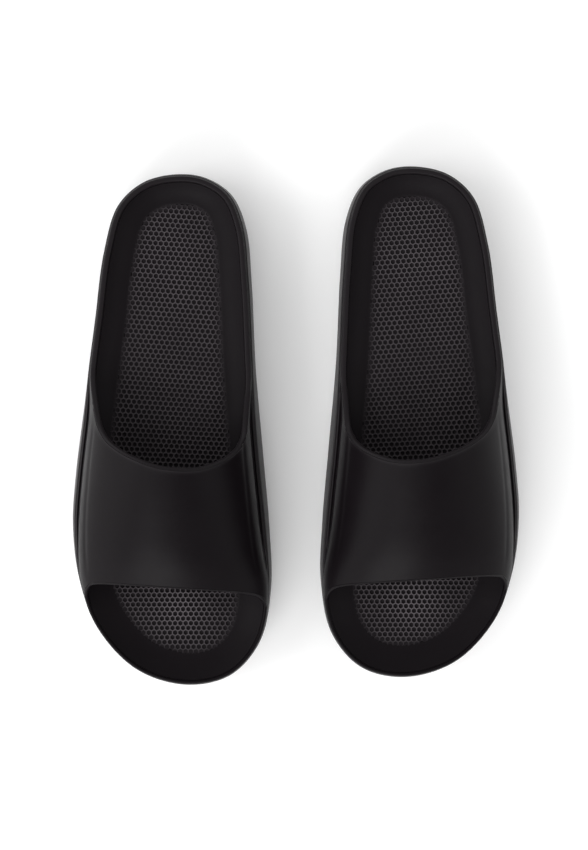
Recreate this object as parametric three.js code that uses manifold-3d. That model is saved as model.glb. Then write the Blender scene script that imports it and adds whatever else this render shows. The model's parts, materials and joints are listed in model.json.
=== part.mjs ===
// A pair of moulded foam slide sandals, toes towards -Y, standing on the plane z = 0.
// Each slide is an upper (a wide strap that runs back into a low collar round the heel), a dished
// footbed, a midsole with a raised wall, and a rubber outsole in two pieces that part at the ball.
// Units are millimetres and +Z is up.
import * as THREE from "three";
import { mergeVertices } from "three/addons/utils/BufferGeometryUtils.js";
import Module from "manifold-3d";

const wasm = await Module();
wasm.setup();

// ---- driving dimensions ----
const slideLength = 290;
const slideWidth = 113.3; // at the ball, over the widest part of the sole
const slideSpacing = 144; // between the long axes of the two slides
const leftLead = -4.4; // how far the left slide stands ahead of the right one
const clearance = 0.3; // between pieces that touch

const heelFootHeight = 31; // ground to the middle of the footbed
const ballFootHeight = 23;
const heelSeamHeight = 36; // ground to the joint between midsole and upper
const ballSeamHeight = 30;
const toeSeamHeight = 29;
const collarRise = 4.8; // how far the heel collar stands above the joint
const toeRimRise = 2.6; // and the rim round the toe
const shoulderHeight = 54; // ground to the top of the strap's flank, at its rear corners
const strapRearRise = 28; // the strap's crown above its shoulders
const strapFrontRise = 18;
const rearBow = 17.5; // how far the middle of the strap's rear edge lies ahead of its corners

const wallInset = 2.2; // how far the sole's wall leans in from the widest line to the joint
const upperThickness = 3.6;
const footbedThickness = 8;
const footbedLip = 1.2; // the footbed's edge below the collar's edge
const outsoleThickness = 3.5;
const outsoleInset = 4;
const widestAbove = 9; // the widest line above the underside of the midsole
const toeSpring = 13; // how far the underside rises at the toe
const heelBevel = 4; // and at the back of the heel

const treadDepth = 2;
const treadGroove = 3; // width of a groove between two lugs
const treadPitch = 13.5;
const flexGap = 3; // between the two pieces of the outsole
const flexObliquity = THREE.MathUtils.degToRad(16); // the ball line against the foot's cross axis

// Places along the foot, from 0 at the back of the heel to 1 at the tip of the toe.
const strapRear = { lateral: 0.514, medial: 0.507 };
const strapFrontTop = { lateral: 0.797, medial: 0.821 };
const strapFrontBase = { lateral: 0.812, medial: 0.841 };
const flexStation = 0.66;
const springStart = 0.72; // where the underside starts to rise to the toe
const bevelEnd = 0.07; // where the underside has come down from the heel's bevel
const spineStart = 0.155;
const spineEnd = 0.81;

// ---- the outline of the sole ----
// Each point is [share of the half width, inner side positive; share of the length].
const outlineShape = [
  [0.09, 0], [-0.26, 0.016], [-0.52, 0.063], [-0.66, 0.155], [-0.745, 0.29], [-0.85, 0.44],
  [-0.95, 0.59], [-0.98, 0.69], [-0.915, 0.793], [-0.71, 0.893], [-0.32, 0.971], [0.18, 1],
  [0.62, 0.981], [0.91, 0.917], [1.02, 0.815], [1.005, 0.7], [0.94, 0.55], [0.865, 0.38],
  [0.825, 0.215], [0.77, 0.105], [0.63, 0.041], [0.38, 0.008],
];
const outline = new THREE.CatmullRomCurve3(
  outlineShape.map(([x, s]) => new THREE.Vector3((x * slideWidth) / 2, -s * slideLength, 0)),
  true,
  "centripetal",
);
outline.arcLengthDivisions = 800;

const stationOf = (point) => -point.y / slideLength;

// The point of the outline at a share of its length, moved inwards.
function insetPoint(share, inset) {
  const at = THREE.MathUtils.euclideanModulo(share, 1);
  const along = outline.getTangentAt(at);
  return outline.getPointAt(at).add(new THREE.Vector3(-along.y, along.x, 0).multiplyScalar(inset));
}

// The share of the outline's length at which one side of it passes a station.
const toeShare = shareAt(1, 0.3, 0.7, true);
function shareAt(station, low, high, atTip = false) {
  if (atTip) {
    let best = low;
    for (let u = low; u < high; u += 0.0005)
      if (stationOf(outline.getPointAt(u)) > stationOf(outline.getPointAt(best))) best = u;
    return best;
  }
  let [from, to] = [low, high];
  const rising = stationOf(outline.getPointAt(to)) > stationOf(outline.getPointAt(from));
  for (let n = 0; n < 40; n++) {
    const middle = (from + to) / 2;
    if (stationOf(outline.getPointAt(middle)) < station === rising) from = middle;
    else to = middle;
  }
  return (from + to) / 2;
}
const lateralShare = (station) => shareAt(station, 0.02, toeShare);
const medialShare = (station) => shareAt(station, toeShare, 0.96) - 1;

// ---- heights along the foot ----
// A smooth curve through [station, height] knots, flat beyond its ends.
function through(knots) {
  const slope = (n) => {
    const [a, b] = [knots[Math.max(n - 1, 0)], knots[Math.min(n + 1, knots.length - 1)]];
    return (b[1] - a[1]) / (b[0] - a[0]);
  };
  return (station) => {
    const s = THREE.MathUtils.clamp(station, knots[0][0], knots[knots.length - 1][0]);
    const n = Math.min(Math.max(knots.findIndex((k) => k[0] >= s), 1), knots.length - 1);
    const [[s0, z0], [s1, z1]] = [knots[n - 1], knots[n]];
    const [t, span] = [(s - s0) / (s1 - s0), s1 - s0];
    const bend = t * (1 - t) * span;
    const level = z0 + (z1 - z0) * t * t * (3 - 2 * t);
    return level + bend * ((1 - t) * slope(n - 1) - t * slope(n));
  };
}
const footHeight = through([
  [0, heelFootHeight], [0.2, heelFootHeight], [0.42, heelFootHeight - 0.5],
  [0.7, ballFootHeight], [0.88, ballFootHeight - 1], [1, ballFootHeight + 2],
]);
const seamHeight = through([
  [0, heelSeamHeight], [0.38, heelSeamHeight], [0.66, ballSeamHeight],
  [0.81, toeSeamHeight - 1.5], [1, toeSeamHeight],
]);
const collarHeight = through([
  [0, heelSeamHeight + collarRise], [0.39, heelSeamHeight + collarRise],
  [0.45, heelSeamHeight + 1.6 * collarRise], [0.48, heelSeamHeight + 2.4 * collarRise],
  [0.514, shoulderHeight], [0.6, shoulderHeight + 2], [0.7, shoulderHeight - 2],
  [0.82, shoulderHeight - 10],
]);
const shoulderInset = {
  lateral: through([[0.4, 0.6], [0.47, 3], [0.514, 10], [0.6, 10], [0.7, 8], [0.82, 3.8]]),
  medial: through([[0.4, 0.6], [0.47, 2], [0.507, 4.6], [0.6, 5.2], [0.7, 4.9], [0.82, 2.6]]),
};
const undersideHeight = (station) => {
  const toe = Math.max(station - springStart, 0) / (1 - springStart);
  const heel = Math.max(bevelEnd - station, 0) / bevelEnd;
  return toeSpring * toe * toe + heelBevel * heel * heel;
};
const midsoleHeight = (station) => undersideHeight(station) + outsoleThickness + clearance;
const recessHeight = (station) => footHeight(station) - footbedThickness;

// ---- rings round the sole ----
const ringPoints = 64;
const recessInset = wallInset + upperThickness + clearance;
const footbedInset = recessInset + clearance;

// A ring at an inset from the outline, at a height given by station.
function insetRing(inset, heightAt) {
  return Array.from({ length: ringPoints }, (_, n) => {
    const point = insetPoint(n / ringPoints, inset);
    return point.setZ(heightAt(stationOf(point)));
  });
}

// The same ring drawn in towards the middle line of the sole, to a share of its distance from it.
function drawnRing(inset, share, heightAt) {
  return Array.from({ length: ringPoints }, (_, n) => {
    const edge = insetPoint(n / ringPoints, inset);
    const along = THREE.MathUtils.clamp(stationOf(edge), spineStart, spineEnd);
    const middle = new THREE.Vector3((0.055 * slideWidth) / 2 + 3 * along, -along * slideLength, 0);
    const point = middle.lerp(edge, share);
    return point.setZ(heightAt(stationOf(point), share));
  });
}

// A closed skin over a stack of rings that starts in the underside and ends in the top.
function stackGeometry(rings) {
  const all = rings.flat();
  const faces = [];
  for (let k = 0; k + 1 < rings.length; k++)
    for (let n = 0; n < ringPoints; n++) {
      const [a, b] = [k * ringPoints + n, k * ringPoints + ((n + 1) % ringPoints)];
      const [c, d] = [a + ringPoints, b + ringPoints];
      if (all[a].distanceTo(all[d]) < all[b].distanceTo(all[c])) faces.push(a, b, d, a, d, c);
      else faces.push(a, b, c, b, d, c);
    }
  closeEnd(faces, 0, false);
  closeEnd(faces, (rings.length - 1) * ringPoints, true);
  return facing(all, faces);
}

// A strip of faces across the ring that starts at an offset, from one side of the sole to the other.
function closeEnd(faces, offset, up) {
  const half = ringPoints / 2;
  const face = (a, b, c) => faces.push(...(up ? [a, b, c] : [a, c, b]).map((n) => n + offset));
  for (let n = 0; n < half; n++) {
    const across = (ringPoints - n) % ringPoints;
    if (n > 0) face(n, n + 1, across);
    if (n + 1 < half) face(n + 1, ringPoints - n - 1, across);
  }
}

// A geometry from a list of points and a list of faces, turned so that its faces point out.
function facing(points, faces) {
  let volume = 0;
  for (let n = 0; n < faces.length; n += 3) {
    const [a, b, c] = [points[faces[n]], points[faces[n + 1]], points[faces[n + 2]]];
    volume += a.dot(b.clone().cross(c));
  }
  return new THREE.BufferGeometry()
    .setFromPoints(points)
    .setIndex(volume < 0 ? faces.toReversed() : faces);
}

// ---- solids, for joins and cuts ----
function solidOf(geometry) {
  const bare = geometry.clone();
  bare.deleteAttribute("normal");
  bare.deleteAttribute("uv");
  const merged = mergeVertices(bare, 1e-4);
  return new wasm.Manifold(
    new wasm.Mesh({
      numProp: 3,
      vertProperties: new Float32Array(merged.attributes.position.array),
      triVerts: new Uint32Array(merged.index.array),
    }),
  );
}

function geometryOf(solid) {
  const mesh = solid.getMesh();
  return new THREE.BufferGeometry()
    .setAttribute("position", new THREE.BufferAttribute(mesh.vertProperties, 3))
    .setIndex(new THREE.BufferAttribute(mesh.triVerts, 1));
}

// ---- midsole ----
// A thick foam body. Its wall bulges out above the underside and leans in to the joint with the
// upper, and its top is hollowed to take the footbed.
function midsoleGeometry() {
  const wallAt = (share) => (s) =>
    THREE.MathUtils.lerp(midsoleHeight(s) + widestAbove, seamHeight(s), share);
  return stackGeometry([
    drawnRing(outsoleInset, 0.12, midsoleHeight),
    drawnRing(outsoleInset, 0.6, midsoleHeight),
    insetRing(outsoleInset, midsoleHeight),
    insetRing(wallInset, midsoleHeight),
    insetRing(1, (s) => midsoleHeight(s) + 0.3 * widestAbove),
    insetRing(0, wallAt(0)),
    insetRing(0.35 * wallInset, wallAt(0.5)),
    insetRing(wallInset, wallAt(1)),
    insetRing(recessInset, seamHeight),
    insetRing(recessInset, recessHeight),
    drawnRing(footbedInset, 0.6, recessHeight),
    drawnRing(footbedInset, 0.12, recessHeight),
  ]);
}

// ---- footbed ----
// A dished insert. Its edge climbs the inside of the collar at the heel, tucks in under the strap,
// and lies just inside the midsole's rim at the toe.
const footbedTop = footbedInset + 1.1; // inset of the edge's upper corner
const edgeHeight = (station) => {
  const atCollar = THREE.MathUtils.smoothstep(station, 0.4, 0.5);
  const heel = seamHeight(station) + collarRise - footbedLip;
  const forefoot = seamHeight(station) - clearance;
  return THREE.MathUtils.lerp(heel, forefoot, atCollar);
};
function footbedGeometry() {
  const underside = (s) => recessHeight(s) + clearance;
  const dish = (s, share) =>
    THREE.MathUtils.lerp(footHeight(s), edgeHeight(s), Math.pow(share, 4));
  return stackGeometry([
    drawnRing(footbedInset, 0.12, underside),
    drawnRing(footbedInset, 0.6, underside),
    insetRing(footbedInset, underside),
    insetRing(footbedInset, (s) => seamHeight(s) - clearance),
    insetRing(footbedTop, edgeHeight),
    drawnRing(footbedTop, 0.93, dish),
    drawnRing(footbedTop, 0.84, dish),
    drawnRing(footbedTop, 0.7, dish),
    drawnRing(footbedTop, 0.45, dish),
    drawnRing(footbedTop, 0.12, dish),
  ]);
}

// ---- upper ----
// One sheet of foam, drawn as its outer face and then thickened inwards. A wall stands on the
// midsole all the way round: flanks under the strap, a collar behind it, and a low rim round the
// toe. The crown of the strap arches between the two flanks.
const strapColumns = 14; // from the rear corner of the strap to its front corner
const heelColumns = 34; // round the collar, from one rear corner to the other
const toeColumns = 28; // round the toe, from one front corner to the other
const rimRun = 14; // length over which the strap's front corner comes down to the toe rim
const wallRows = 3;
const crownColumns = 18; // across the strap

function wallColumns() {
  const strapSide = (side, shareOf) =>
    Array.from({ length: strapColumns + 1 }, (_, n) => {
      const forward = n / strapColumns;
      return {
        side,
        crown: n,
        base: shareOf(THREE.MathUtils.lerp(strapRear[side], strapFrontBase[side], forward)),
        top: shareOf(THREE.MathUtils.lerp(strapRear[side], strapFrontTop[side], forward)),
      };
    });
  const lateral = strapSide("lateral", lateralShare);
  const medial = strapSide("medial", medialShare);
  const collar = Array.from({ length: heelColumns - 1 }, (_, n) => {
    const share = THREE.MathUtils.lerp(lateral[0].base, medial[0].base, (n + 1) / heelColumns);
    return { side: share > 0 ? "lateral" : "medial", base: share, top: share };
  });
  const [start, end] = [medial[strapColumns].base, lateral[strapColumns].base - 1];
  const toeRim = Array.from({ length: toeColumns - 1 }, (_, n) => {
    const even = (n + 1) / toeColumns;
    const part = THREE.MathUtils.lerp(even, THREE.MathUtils.smoothstep(even, 0, 1), 0.6);
    const share = THREE.MathUtils.lerp(start, end, part);
    const corner = part < 0.5 ? medial[strapColumns] : lateral[strapColumns];
    const away = Math.min(part, 1 - part) * (start - end) * outline.getLength();
    const high = Math.pow(Math.max(1 - away / rimRun, 0), 3);
    return {
      side: corner.side,
      base: share,
      top: share + high * (corner.top - corner.base),
      low: 1 - high,
    };
  });
  return [...lateral.toReversed(), ...collar, ...medial, ...toeRim];
}

function wallPoint(column, rise) {
  const share = THREE.MathUtils.lerp(column.base, column.top, rise);
  const station = stationOf(insetPoint(share, 0));
  const low = column.low ?? 0;
  const lean = THREE.MathUtils.lerp(shoulderInset[column.side](station), 0.4, low);
  const bulge = 0.12 * lean * Math.sin(Math.PI * rise);
  const point = insetPoint(share, wallInset + lean * rise - bulge);
  const foot = seamHeight(station) + clearance;
  const top = THREE.MathUtils.lerp(collarHeight(station), foot + toeRimRise, low);
  return point.setZ(THREE.MathUtils.lerp(foot, top, rise));
}

function crownPoint(left, right, across, forward) {
  const angle = Math.PI * across;
  const point = left.clone().lerp(right, (1 - Math.cos(angle)) / 2);
  const arch = Math.sin(angle);
  const rise = THREE.MathUtils.lerp(strapRearRise, strapFrontRise, Math.pow(forward, 0.85));
  const innerSide = 1 - 0.1 * Math.cos(angle); // a foot is higher on its inner side
  point.z += rise * arch * innerSide;
  point.y -= rearBow * Math.pow(arch, 1.9) * Math.pow(1 - forward, 1.6) * (1 - 0.12 * Math.cos(angle));
  return point;
}

function upperGeometry() {
  const columns = wallColumns();
  const points = [];
  const faces = [];
  const quad = (a, b, c, d) => faces.push(a, b, c, a, c, d);
  const wallAt = (c, r) => c * (wallRows + 1) + r;
  columns.forEach((column) => {
    for (let r = 0; r <= wallRows; r++) points.push(wallPoint(column, r / wallRows));
  });
  columns.forEach((_, c) => {
    const next = (c + 1) % columns.length;
    for (let r = 0; r < wallRows; r++)
      quad(wallAt(c, r), wallAt(c, r + 1), wallAt(next, r + 1), wallAt(next, r));
  });

  const lateralTop = (n) => wallAt(strapColumns - n, wallRows);
  const medialTop = (n) => wallAt(strapColumns + heelColumns + n, wallRows);
  const crown = [];
  for (let n = 0; n <= strapColumns; n++) {
    const [left, right] = [points[lateralTop(n)], points[medialTop(n)]];
    const row = [lateralTop(n)];
    for (let k = 1; k < crownColumns; k++) {
      row.push(points.length);
      points.push(crownPoint(left, right, k / crownColumns, n / strapColumns));
    }
    crown.push([...row, medialTop(n)]);
  }
  for (let n = 0; n < strapColumns; n++)
    for (let k = 0; k < crownColumns; k++)
      quad(crown[n][k], crown[n + 1][k], crown[n + 1][k + 1], crown[n][k + 1]);
  return thickened(points, faces, upperThickness, (n) =>
    n < columns.length * (wallRows + 1) && n % (wallRows + 1) === 0);
}

// A sheet made solid: its points again, moved in against their normals, and a skin round the edge.
// Points of the base move level, so that the sheet stands flat.
function thickened(points, faces, thickness, isBase) {
  const sheet = new THREE.BufferGeometry().setFromPoints(points).setIndex(faces);
  sheet.computeVertexNormals();
  const normals = sheet.attributes.normal;
  const middle = new THREE.Vector3(0, -slideLength / 2, 0);
  const outwards = new THREE.Vector3().fromBufferAttribute(normals, 0).dot(
    points[0].clone().sub(middle)) > 0 ? 1 : -1;
  const inner = points.map((point, n) => {
    const normal = new THREE.Vector3().fromBufferAttribute(normals, n).multiplyScalar(outwards);
    if (isBase(n)) normal.setZ(0).normalize();
    return point.clone().addScaledVector(normal, -thickness);
  });
  const edges = new Map();
  for (let n = 0; n < faces.length; n += 3)
    for (let k = 0; k < 3; k++) {
      const [a, b] = [faces[n + k], faces[n + ((k + 1) % 3)]];
      if (!edges.delete(`${b},${a}`)) edges.set(`${a},${b}`, [a, b]);
    }
  const shift = points.length;
  const all = [...faces];
  for (let n = 0; n < faces.length; n += 3)
    all.push(faces[n] + shift, faces[n + 2] + shift, faces[n + 1] + shift);
  for (const [a, b] of edges.values()) all.push(b, a, a + shift, b, a + shift, b + shift);
  return facing([...points, ...inner], all);
}

// ---- outsole ----
// A thin rubber sole with cross grooves, parted obliquely under the ball so that the foot can bend.
function outsoleSolid() {
  const level = (above) => (s) => undersideHeight(s) + above;
  return solidOf(
    stackGeometry([
      drawnRing(outsoleInset + 1, 0.12, level(0)),
      drawnRing(outsoleInset + 1, 0.6, level(0)),
      insetRing(outsoleInset + 1, level(0)),
      insetRing(outsoleInset, level(1)),
      insetRing(outsoleInset, level(outsoleThickness)),
      drawnRing(outsoleInset, 0.6, level(outsoleThickness)),
      drawnRing(outsoleInset, 0.12, level(outsoleThickness)),
    ]),
  );
}

// A box across the sole at the ball line's slant, from one distance ahead of that line to another.
function slantedBar(from, to, low, high) {
  const bar = new THREE.BoxGeometry(2 * slideWidth, to - from, high - low);
  bar.translate(0, -(from + to) / 2, (low + high) / 2);
  bar.rotateZ(-flexObliquity);
  bar.translate(0, -flexStation * slideLength, 0);
  return solidOf(bar);
}

function outsoleGeometries() {
  const far = slideLength;
  let whole = outsoleSolid();
  const grooves = Math.floor((flexStation * slideLength) / treadPitch) - 1;
  for (let n = -grooves; n <= 7; n++) {
    const middle = n * treadPitch;
    if (n === 0) continue;
    const lift = middle > 0 ? undersideHeight(flexStation + middle / slideLength) : 0;
    const bar = slantedBar(middle - treadGroove / 2, middle + treadGroove / 2, -far, treadDepth + lift);
    whole = whole.subtract(bar);
  }
  const rear = whole.subtract(slantedBar(-flexGap / 2, far, -far, far));
  const front = whole.subtract(slantedBar(-far, flexGap / 2, -far, far));
  return { rear: geometryOf(rear), front: geometryOf(front) };
}

// ---- assembly ----
const foam = (color, roughness) =>
  new THREE.MeshStandardMaterial({ color, roughness, metalness: 0 });
const upperFoam = foam(0x232224, 0.52);
const footbedFoam = foam(0x1d1c1f, 0.6);
const midsoleFoam = foam(0x262627, 0.55);
const outsoleRubber = foam(0x18181a, 0.7);

const outsole = outsoleGeometries();
const pieces = [
  ["upper", upperGeometry(), upperFoam],
  ["footbed", footbedGeometry(), footbedFoam],
  ["midsole", midsoleGeometry(), midsoleFoam],
  ["rear_outsole", outsole.rear, outsoleRubber],
  ["front_outsole", outsole.front, outsoleRubber],
];

function slide(side) {
  const group = new THREE.Group();
  for (const [name, geometry, material] of pieces) {
    const mesh = new THREE.Mesh(geometry, material);
    mesh.name = `${side}_${name}`;
    group.add(mesh);
  }
  return group;
}

const rightSlide = slide("right");
rightSlide.position.set(-slideSpacing / 2, (slideLength + leftLead) / 2, 0);
const leftSlide = slide("left");
leftSlide.scale.x = -1; // the left slide is the right one mirrored
leftSlide.position.set(slideSpacing / 2, (slideLength - leftLead) / 2, 0);

const pair = new THREE.Group();
pair.add(rightSlide, leftSlide);
export default pair;
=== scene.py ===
# A pair of moulded foam slide sandals, built the way they are made: a midsole, a rubber outsole
# under it, a dished footbed laid into it, and an upper (heel collar, strap and toe rim) on top.
# Sizes are in millimetres. Each piece is worked out for the right slide and mirrored for the left.
import json

import bpy
import numpy as np
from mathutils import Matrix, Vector


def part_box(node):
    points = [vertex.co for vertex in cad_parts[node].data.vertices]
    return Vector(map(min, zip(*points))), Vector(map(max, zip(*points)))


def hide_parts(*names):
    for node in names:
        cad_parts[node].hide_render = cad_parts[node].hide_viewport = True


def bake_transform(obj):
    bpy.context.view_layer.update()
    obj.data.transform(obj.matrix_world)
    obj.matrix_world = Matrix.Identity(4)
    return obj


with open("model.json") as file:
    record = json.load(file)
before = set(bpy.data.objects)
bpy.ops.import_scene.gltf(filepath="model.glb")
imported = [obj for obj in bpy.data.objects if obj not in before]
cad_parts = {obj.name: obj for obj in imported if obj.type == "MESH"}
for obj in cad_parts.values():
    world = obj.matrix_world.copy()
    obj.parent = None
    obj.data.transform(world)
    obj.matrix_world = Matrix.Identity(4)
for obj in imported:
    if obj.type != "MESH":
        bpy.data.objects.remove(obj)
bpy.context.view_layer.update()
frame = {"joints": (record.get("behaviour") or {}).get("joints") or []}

# ======== Midsole ========
# The thick closed-cell foam body that carries everything else. Its wall bulges out over the tread,
# leans in to the parting groove under the upper, and its top is hollow to take the footbed.

SIDES = ("right", "left")
MM = 0.001  # a millimetre in the frame's metres
TO_MM = 1000
sole_low, sole_high = (TO_MM * np.array(corner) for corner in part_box("right_midsole"))
left_shift = TO_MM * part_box("left_midsole")[1][1] - sole_high[1]
MIDDLE_X = (sole_low[0] + sole_high[0]) / 2
HEEL_Y = sole_high[1]
HALF_WIDTH = 56.65
LENGTH = 290.0

# The outline of the sole from above, heel first: share of the half width (inner side of the foot
# positive) and share of the length from the heel.
OUTLINE = np.array([
    [0.09, 0], [-0.26, 0.016], [-0.52, 0.063], [-0.66, 0.155], [-0.745, 0.29], [-0.85, 0.44],
    [-0.95, 0.59], [-0.98, 0.69], [-0.915, 0.793], [-0.71, 0.893], [-0.32, 0.971], [0.18, 1],
    [0.62, 0.981], [0.91, 0.917], [1.02, 0.815], [1.005, 0.7], [0.94, 0.55], [0.865, 0.38],
    [0.825, 0.215], [0.77, 0.105], [0.63, 0.041], [0.38, 0.008],
])


def closed_curve(points, steps, finely=200):
    """Centripetal Catmull-Rom curve through a closed list of points, sampled evenly by length.

    Between two points it is the cubic whose end slopes weigh each chord by the root of its length.
    Each piece is taken in fine steps, which are then shared out evenly along the whole curve.
    """
    p = [np.roll(points, k, axis=0) for k in (1, 0, -1, -2)]
    d = [np.sqrt(np.linalg.norm(p[k + 1] - p[k], axis=1))[:, None] for k in range(3)]
    slope_a = (p[1] - p[0]) / d[0] - (p[2] - p[0]) / (d[0] + d[1]) + (p[2] - p[1]) / d[1]
    slope_b = (p[2] - p[1]) / d[1] - (p[3] - p[1]) / (d[1] + d[2]) + (p[3] - p[2]) / d[2]
    t = np.linspace(0, 1, finely, endpoint=False)[None, :, None]
    a, b = (slope_a * d[1])[:, None], (slope_b * d[1])[:, None]
    start, end = p[1][:, None], p[2][:, None]
    dense = start + a * t + (3 * (end - start) - 2 * a - b) * t**2
    dense = (dense + (2 * (start - end) + a + b) * t**3).reshape(-1, 2)
    loop = np.vstack([dense, dense[:1]])
    length = np.append(0, np.cumsum(np.linalg.norm(np.diff(loop, axis=0), axis=1)))
    even = np.linspace(0, length[-1], steps + 1)
    return np.stack([np.interp(even, length, loop[:, k]) for k in (0, 1)], axis=1)


# The outline as a dense closed line, moved to the sole's place, with the direction along it taken
# over a few steps to either side, and the share of its length at which each point and the toe lie.
EDGE_STEPS = 4000
EDGE_SMOOTHING = 4
edge_line = closed_curve(OUTLINE * [HALF_WIDTH, -LENGTH], EDGE_STEPS)
edge_line += [MIDDLE_X - (edge_line.min(0) + edge_line.max(0))[0] / 2,
              HEEL_Y - edge_line[:, 1].max()]
edge_share = np.linspace(0, 1, len(edge_line))
edge_along = (np.roll(edge_line[:-1], -EDGE_SMOOTHING, axis=0)
              - np.roll(edge_line[:-1], EDGE_SMOOTHING, axis=0))
edge_along = np.vstack([edge_along, edge_along[:1]])
edge_along /= np.linalg.norm(edge_along, axis=1)[:, None]
toe_share = edge_share[edge_line[:, 1].argmin()]


def station(y):
    """How far along the foot a place is, from 0 at the heel to 1 at the toe."""
    return (HEEL_Y - y) / LENGTH


def inset_line(share, inset):
    """Points of the outline at shares of its length, each moved inwards by an inset along the
    quarter turn of the outline's direction there."""
    share = np.mod(share, 1)
    at = [np.interp(share, edge_share, edge_line[:, k]) for k in (0, 1)]
    along = [np.interp(share, edge_share, edge_along[:, k]) for k in (0, 1)]
    return np.stack([at[0] - along[1] * inset, at[1] + along[0] * inset], axis=-1)


def side_share(where, side):
    """The share of the outline at which its outer or inner side passes a station, read off the
    dense line from its point nearest the heel."""
    outer = edge_share < toe_share
    shares = edge_share[outer] if side == "outer" else edge_share[~outer][::-1]
    line = edge_line[outer] if side == "outer" else edge_line[~outer][::-1]
    start = line[: len(line) // 4, 1].argmax()
    return np.interp(where, station(line[start:, 1]), shares[start:])


def through(knots):
    """A smooth curve of height against station, flat past both ends: cubic pieces between the
    knots, whose slope at a knot is that of the line from the knot before to the knot after."""
    s, z = np.array(knots, float).T
    slope = np.gradient(z, s)
    slope[1:-1] = (z[2:] - z[:-2]) / (s[2:] - s[:-2])

    def height(where):
        where = np.clip(where, s[0], s[-1])
        n = np.clip(np.searchsorted(s, where), 1, len(s) - 1)
        span = s[n] - s[n - 1]
        t = (where - s[n - 1]) / span
        level = z[n - 1] + (z[n] - z[n - 1]) * t * t * (3 - 2 * t)
        return level + t * (1 - t) * span * ((1 - t) * slope[n - 1] - t * slope[n])

    return height


def ease(low, high, value):
    """0 up to low, 1 from high, and between them three times the square less twice the cube of the
    share of the way; with low above high it falls instead."""
    t = np.clip((value - low) / (high - low), 0, 1)
    return t * t * (3 - 2 * t)


foot_height = through([[0, 31], [0.2, 31], [0.42, 30.5], [0.7, 23], [0.88, 22], [1, 25]])
seam_height = through([[0, 36], [0.38, 36], [0.66, 30], [0.81, 27.5], [1, 29]])


TOE_SPRING = 13  # how far the toe curls up off the ground
HEEL_BEVEL = 4
SPRING_START = 0.72  # the station from which the sole curls up
BEVEL_START = 0.07


def sole_underside(where):
    """Height of the tread's face: flat on the ground, and rising as the square of the way past the
    place where the toe's curl, or the heel's bevel, begins."""
    toe = np.maximum(where - SPRING_START, 0) / (1 - SPRING_START)
    heel = np.maximum(BEVEL_START - where, 0) / BEVEL_START
    return TOE_SPRING * toe**2 + HEEL_BEVEL * heel**2


SPINE_ENDS = (0.155, 0.81)  # stations where the foot's middle line begins and ends


def drawn_line(share, inset, part):
    """A ring drawn in from an inset of the outline towards the foot's middle line, to a part of
    the way. The middle line runs straight between two stations, and the ring fans round its ends."""
    rim = inset_line(share, inset)
    along = np.clip(station(rim[:, 1]), *SPINE_ENDS)
    middle_x = MIDDLE_X + 1.5 + 3 * along
    middle = np.stack([middle_x, HEEL_Y - along * LENGTH], axis=-1)
    return middle + (rim - middle) * part


def raised(line, height):
    """A flat line with a height for each point, or one for all."""
    return np.column_stack([line, np.broadcast_to(height, len(line))])


def ring_faces(rows, columns):
    """Four-sided faces of a grid whose columns close round, bottom row first, facing out."""
    index = np.arange(rows * columns).reshape(rows, columns)
    beside = np.roll(index, -1, axis=1)
    return np.stack([index[:-1], beside[:-1], beside[1:], index[1:]], axis=-1).reshape(-1, 4)


def end_faces(columns, first, up):
    """A strip of faces across a ring, each from one side of the sole to the other, with a
    triangle at both ends."""
    half = columns // 2
    n = np.arange(1, half - 1)
    strip = np.stack([n, n + 1, columns - n - 1, columns - n], axis=-1)
    tips = np.array([[0, 1, columns - 1, columns - 1], [half - 1, half, half + 1, half + 1]])
    faces = first + np.vstack([strip, tips])
    return faces if up else faces[:, ::-1]


def rings_solid(rings):
    """A closed skin over rings that run from the middle of the underside to that of the top."""
    rows, columns = len(rings), len(rings[0])
    faces = [ring_faces(rows, columns), end_faces(columns, 0, False),
             end_faces(columns, (rows - 1) * columns, True)]
    return np.vstack(rings), np.vstack(faces)


def add_piece(name, points, faces, side, marks=None):
    """Puts a solid into a new mesh object, in metres, mirrored across the pair for the left slide.

    Faces have four corners; a face whose last two corners are one point is a triangle. Marks are
    numbers kept at each point, which materials read by name.
    """
    used, faces = np.unique(faces, return_inverse=True)
    faces = faces.reshape(-1, 4)
    points = np.array(points, float)[used]
    if side == "left":
        points = points * [-1, 1, 1] + [0, left_shift, 0]
    a, b, c, d = (points[faces[:, k]] for k in range(4))
    volume = np.einsum("ij,ij->", a, np.cross(b, c)) + np.einsum("ij,ij->", a, np.cross(c, d))
    if volume < 0:
        faces = faces[:, ::-1]
    double = faces == np.roll(faces, -1, axis=1)
    corners = faces[~double]
    sides = 4 - double.sum(axis=1)
    corners, sides = corners[np.repeat(sides > 2, sides)], sides[sides > 2]
    mesh = bpy.data.meshes.new(name)
    mesh.vertices.add(len(points))
    mesh.vertices.foreach_set("co", (points * MM).astype(np.float32).ravel())
    mesh.loops.add(len(corners))
    mesh.loops.foreach_set("vertex_index", corners.astype(np.int32))
    mesh.polygons.add(len(sides))
    mesh.polygons.foreach_set("loop_start", np.append(0, np.cumsum(sides)[:-1]).astype(np.int32))
    mesh.polygons.foreach_set("use_smooth", np.ones(len(sides), bool))
    mesh.update(calc_edges=True)
    for mark, values in (marks or {}).items():
        layer = mesh.attributes.new(mark, "FLOAT", "POINT")
        layer.data.foreach_set("value", np.asarray(values, np.float32)[used])
    piece = bpy.data.objects.new(f"{side}_{name}", mesh)
    bpy.context.scene.collection.objects.link(piece)
    return piece


def bend_with_forefoot(piece):
    """Bakes a piece's placing into its mesh's points, leaving the object at the identity."""
    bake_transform(piece)


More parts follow.
